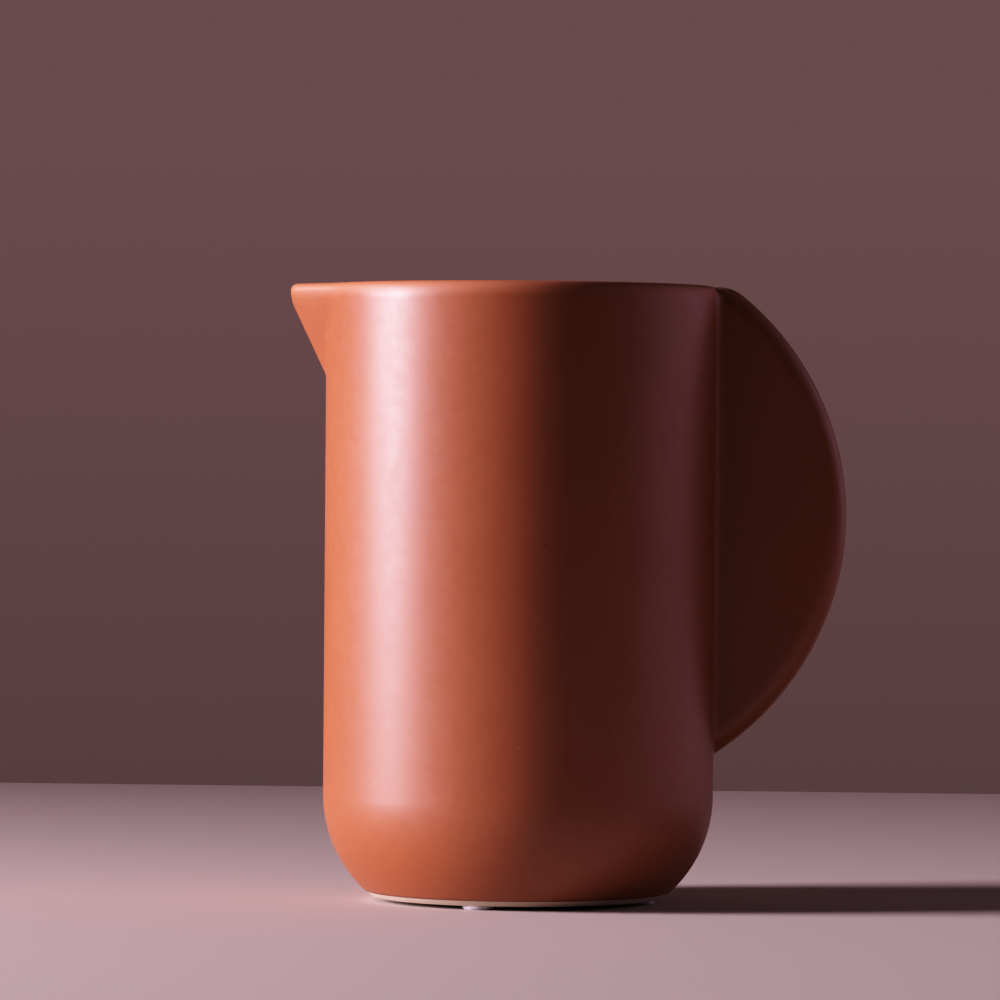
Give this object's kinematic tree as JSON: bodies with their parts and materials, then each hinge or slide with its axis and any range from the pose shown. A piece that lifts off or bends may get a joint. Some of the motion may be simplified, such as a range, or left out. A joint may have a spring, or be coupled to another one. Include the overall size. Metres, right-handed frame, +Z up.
{
  "type": "ceramic pitcher",
  "caption": "Straight-sided stoneware pitcher with a rounded base, a small beak spout and a solid half-moon fin as its handle, on stick-on bumpers.",
  "frame": {"origin": "on the vessel's axis, in the plane of the surface that the pitcher stands on", "axes": "+Z up along the vessel's axis, +X towards the handle, -X towards the spout, -Y towards the viewer"},
  "size_m": [0.1628, 0.114, 0.18],
  "materials": {
    "glaze": "satin terracotta glaze",
    "bare_clay": "unglazed fired stoneware",
    "silicone": "clear silicone bumper",
    "adhesive": "thin adhesive film"
  },
  "bodies": {
    "root": {"vessel": "glaze", "spout": "glaze", "handle": "glaze", "handle_seam": "glaze", "foot_ring": "bare_clay", "bumper_1": "silicone", "bumper_2": "silicone", "bumper_3": "silicone", "bumper_4": "silicone", "bumper_adhesive_1": "adhesive", "bumper_adhesive_2": "adhesive", "bumper_adhesive_3": "adhesive", "bumper_adhesive_4": "adhesive"}
  },
  "joints": []
}
